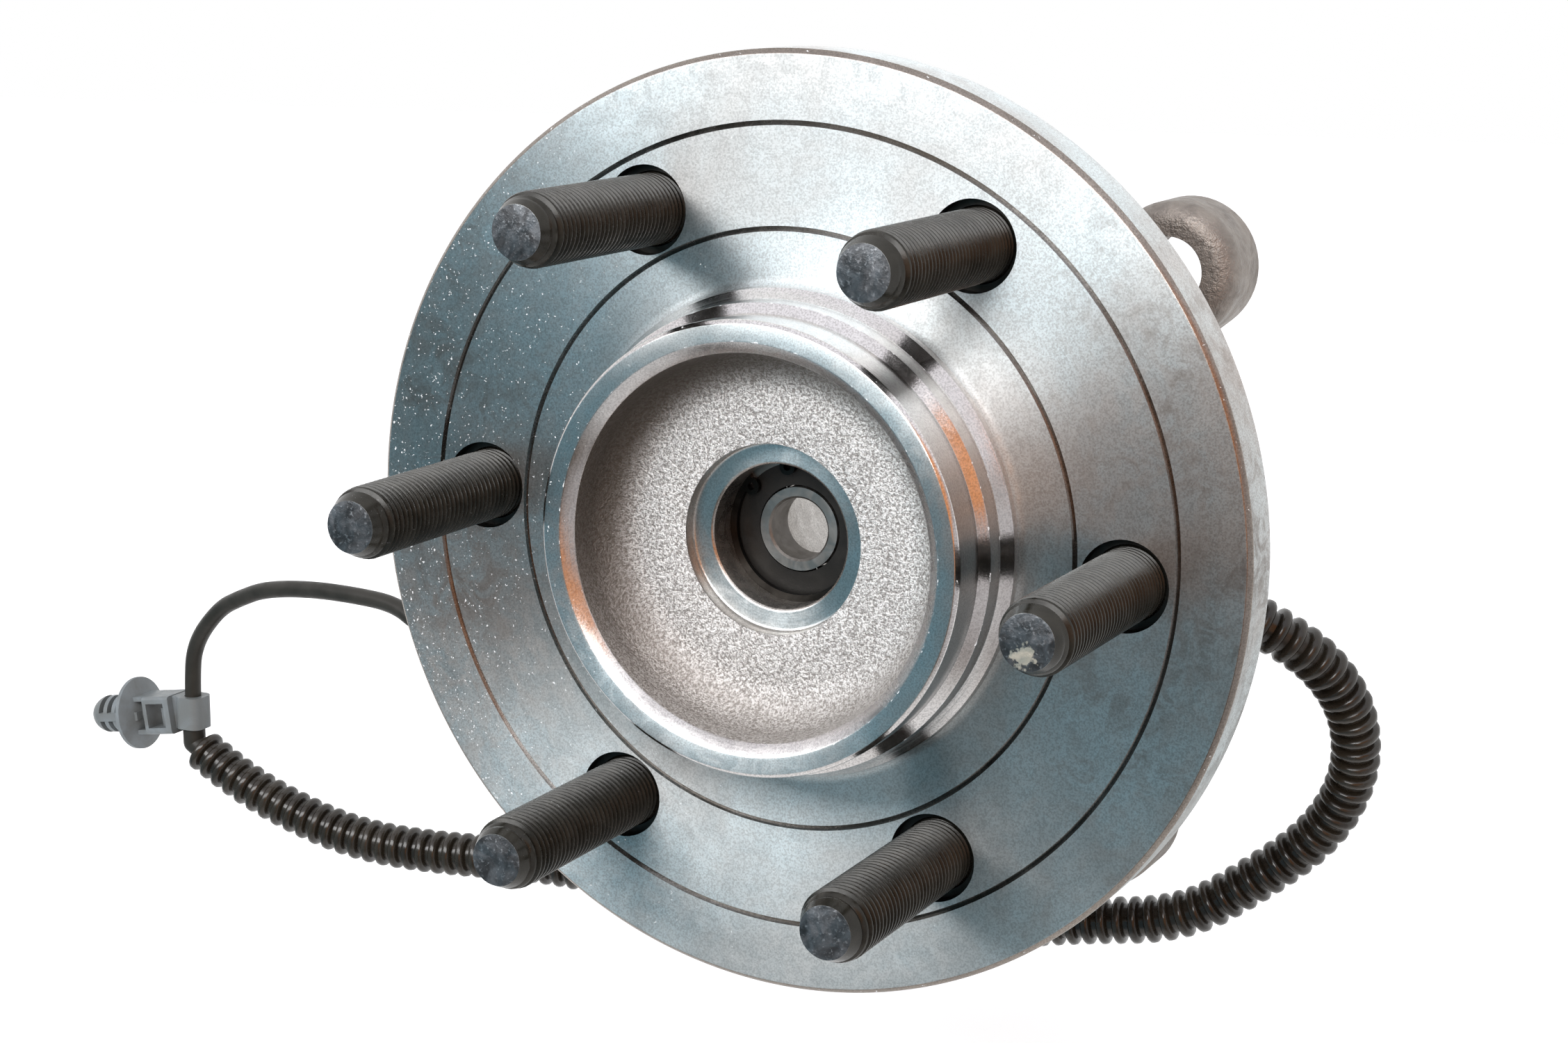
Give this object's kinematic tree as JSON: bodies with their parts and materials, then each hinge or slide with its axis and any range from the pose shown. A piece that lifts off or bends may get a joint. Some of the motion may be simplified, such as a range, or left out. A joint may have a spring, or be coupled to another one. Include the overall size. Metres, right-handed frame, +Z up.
{
  "type": "wheel hub bearing",
  "caption": "Flanged wheel hub turning on a double-row ball bearing, with wheel studs, stepped pilot, eared outer ring and a speed-sensor lead in corrugated conduit.",
  "frame": {"origin": "centre of the knuckle mounting face: on the axle, in the plane of the ears' inboard faces", "axes": "the wheel turns about Y; -Y is outboard, towards the wheel, and +Y inboard, into the knuckle; +Z is up and X runs across"},
  "size_m": [0.3065, 0.1348, 0.1942],
  "materials": {
    "hub_steel": "turned and lightly oiled forging, bright on machined faces",
    "stud_steel": "dark phosphate coat, bare at the rolled ends",
    "race_steel": "ground bearing steel",
    "drive_steel": "machined and oiled",
    "forged_steel": "forged skin, brown-grey, machined on its mating faces",
    "ball_steel": "polished bearing balls",
    "cage_nylon": "natural glass-filled nylon",
    "target_steel": "stamped steel",
    "seal_steel": "pressed sheet steel",
    "seal_rubber": "black sealing rubber",
    "spring_steel": "black spring steel",
    "sensor_plastic": "glass-filled nylon, black",
    "bolt_steel": "zinc plated",
    "boot_rubber": "moulded rubber",
    "conduit_plastic": "corrugated tube, dark and slightly shiny",
    "cable_jacket": "dark grey extruded jacket",
    "clip_nylon": "light blue-grey nylon",
    "connector_plastic": "black moulded housing",
    "latch_plastic": "grey moulded latch",
    "pin_brass": "tinned brass blades"
  },
  "bodies": {
    "carrier": {"outer_ring": "forged_steel", "outboard_seal_case": "seal_steel", "outboard_seal_lip": "seal_rubber", "inboard_seal_case": "seal_steel", "inboard_seal_lip": "seal_rubber", "sensor_body": "sensor_plastic", "sensor_oil_seal": "seal_rubber", "sensor_sleeve": "target_steel", "sensor_bolt": "bolt_steel", "conduit_boot": "boot_rubber", "conduit": "conduit_plastic", "cable_elbow": "cable_jacket", "sensor_cable": "cable_jacket", "clip_mount": "clip_nylon", "clip_strap": "clip_nylon", "connector_gland": "seal_rubber", "connector_body": "connector_plastic", "connector_latch": "latch_plastic", "connector_pins": "pin_brass"},
    "hub": {"wheel_hub": "hub_steel", "wheel_studs": "stud_steel", "inner_ring": "race_steel", "drive_ring": "drive_steel", "target_ring": "target_steel", "flinger": "seal_steel", "tip_bearing_outer_ring": "race_steel", "tip_bearing_front_seal": "seal_rubber", "tip_bearing_rear_seal": "seal_rubber", "snap_ring": "spring_steel"},
    "outboard_row": {"outboard_balls": "ball_steel", "outboard_cage": "cage_nylon"},
    "inboard_row": {"inboard_balls": "ball_steel", "inboard_cage": "cage_nylon"},
    "tip_race": {"tip_bearing_inner_ring": "race_steel"},
    "tip_row": {"tip_bearing_balls": "ball_steel", "tip_bearing_cage": "cage_nylon"}
  },
  "joints": [
    {"name": "hub_spin", "type": "hinge", "parent": "carrier", "child": "hub", "pos_m": [0, 0, 0], "axis": [0, 1, 0], "continuous": true},
    {"name": "outboard_row_spin", "type": "hinge", "parent": "carrier", "child": "outboard_row", "pos_m": [0, -0.023, 0], "axis": [0, 1, 0], "continuous": true},
    {"name": "inboard_row_spin", "type": "hinge", "parent": "carrier", "child": "inboard_row", "pos_m": [0, 0.005, 0], "axis": [0, 1, 0], "continuous": true},
    {"name": "tip_race_spin", "type": "hinge", "parent": "hub", "child": "tip_race", "pos_m": [0, -0.0434, 0], "axis": [0, 1, 0], "continuous": true},
    {"name": "tip_row_spin", "type": "hinge", "parent": "hub", "child": "tip_row", "pos_m": [0, -0.0434, 0], "axis": [0, 1, 0], "continuous": true}
  ],
  "couplings": [
    {"joint": "outboard_row_spin", "follows": "hub_spin", "ratio": 0.4268},
    {"joint": "inboard_row_spin", "follows": "hub_spin", "ratio": 0.4268},
    {"joint": "tip_row_spin", "follows": "tip_race_spin", "ratio": 0.381}
  ]
}
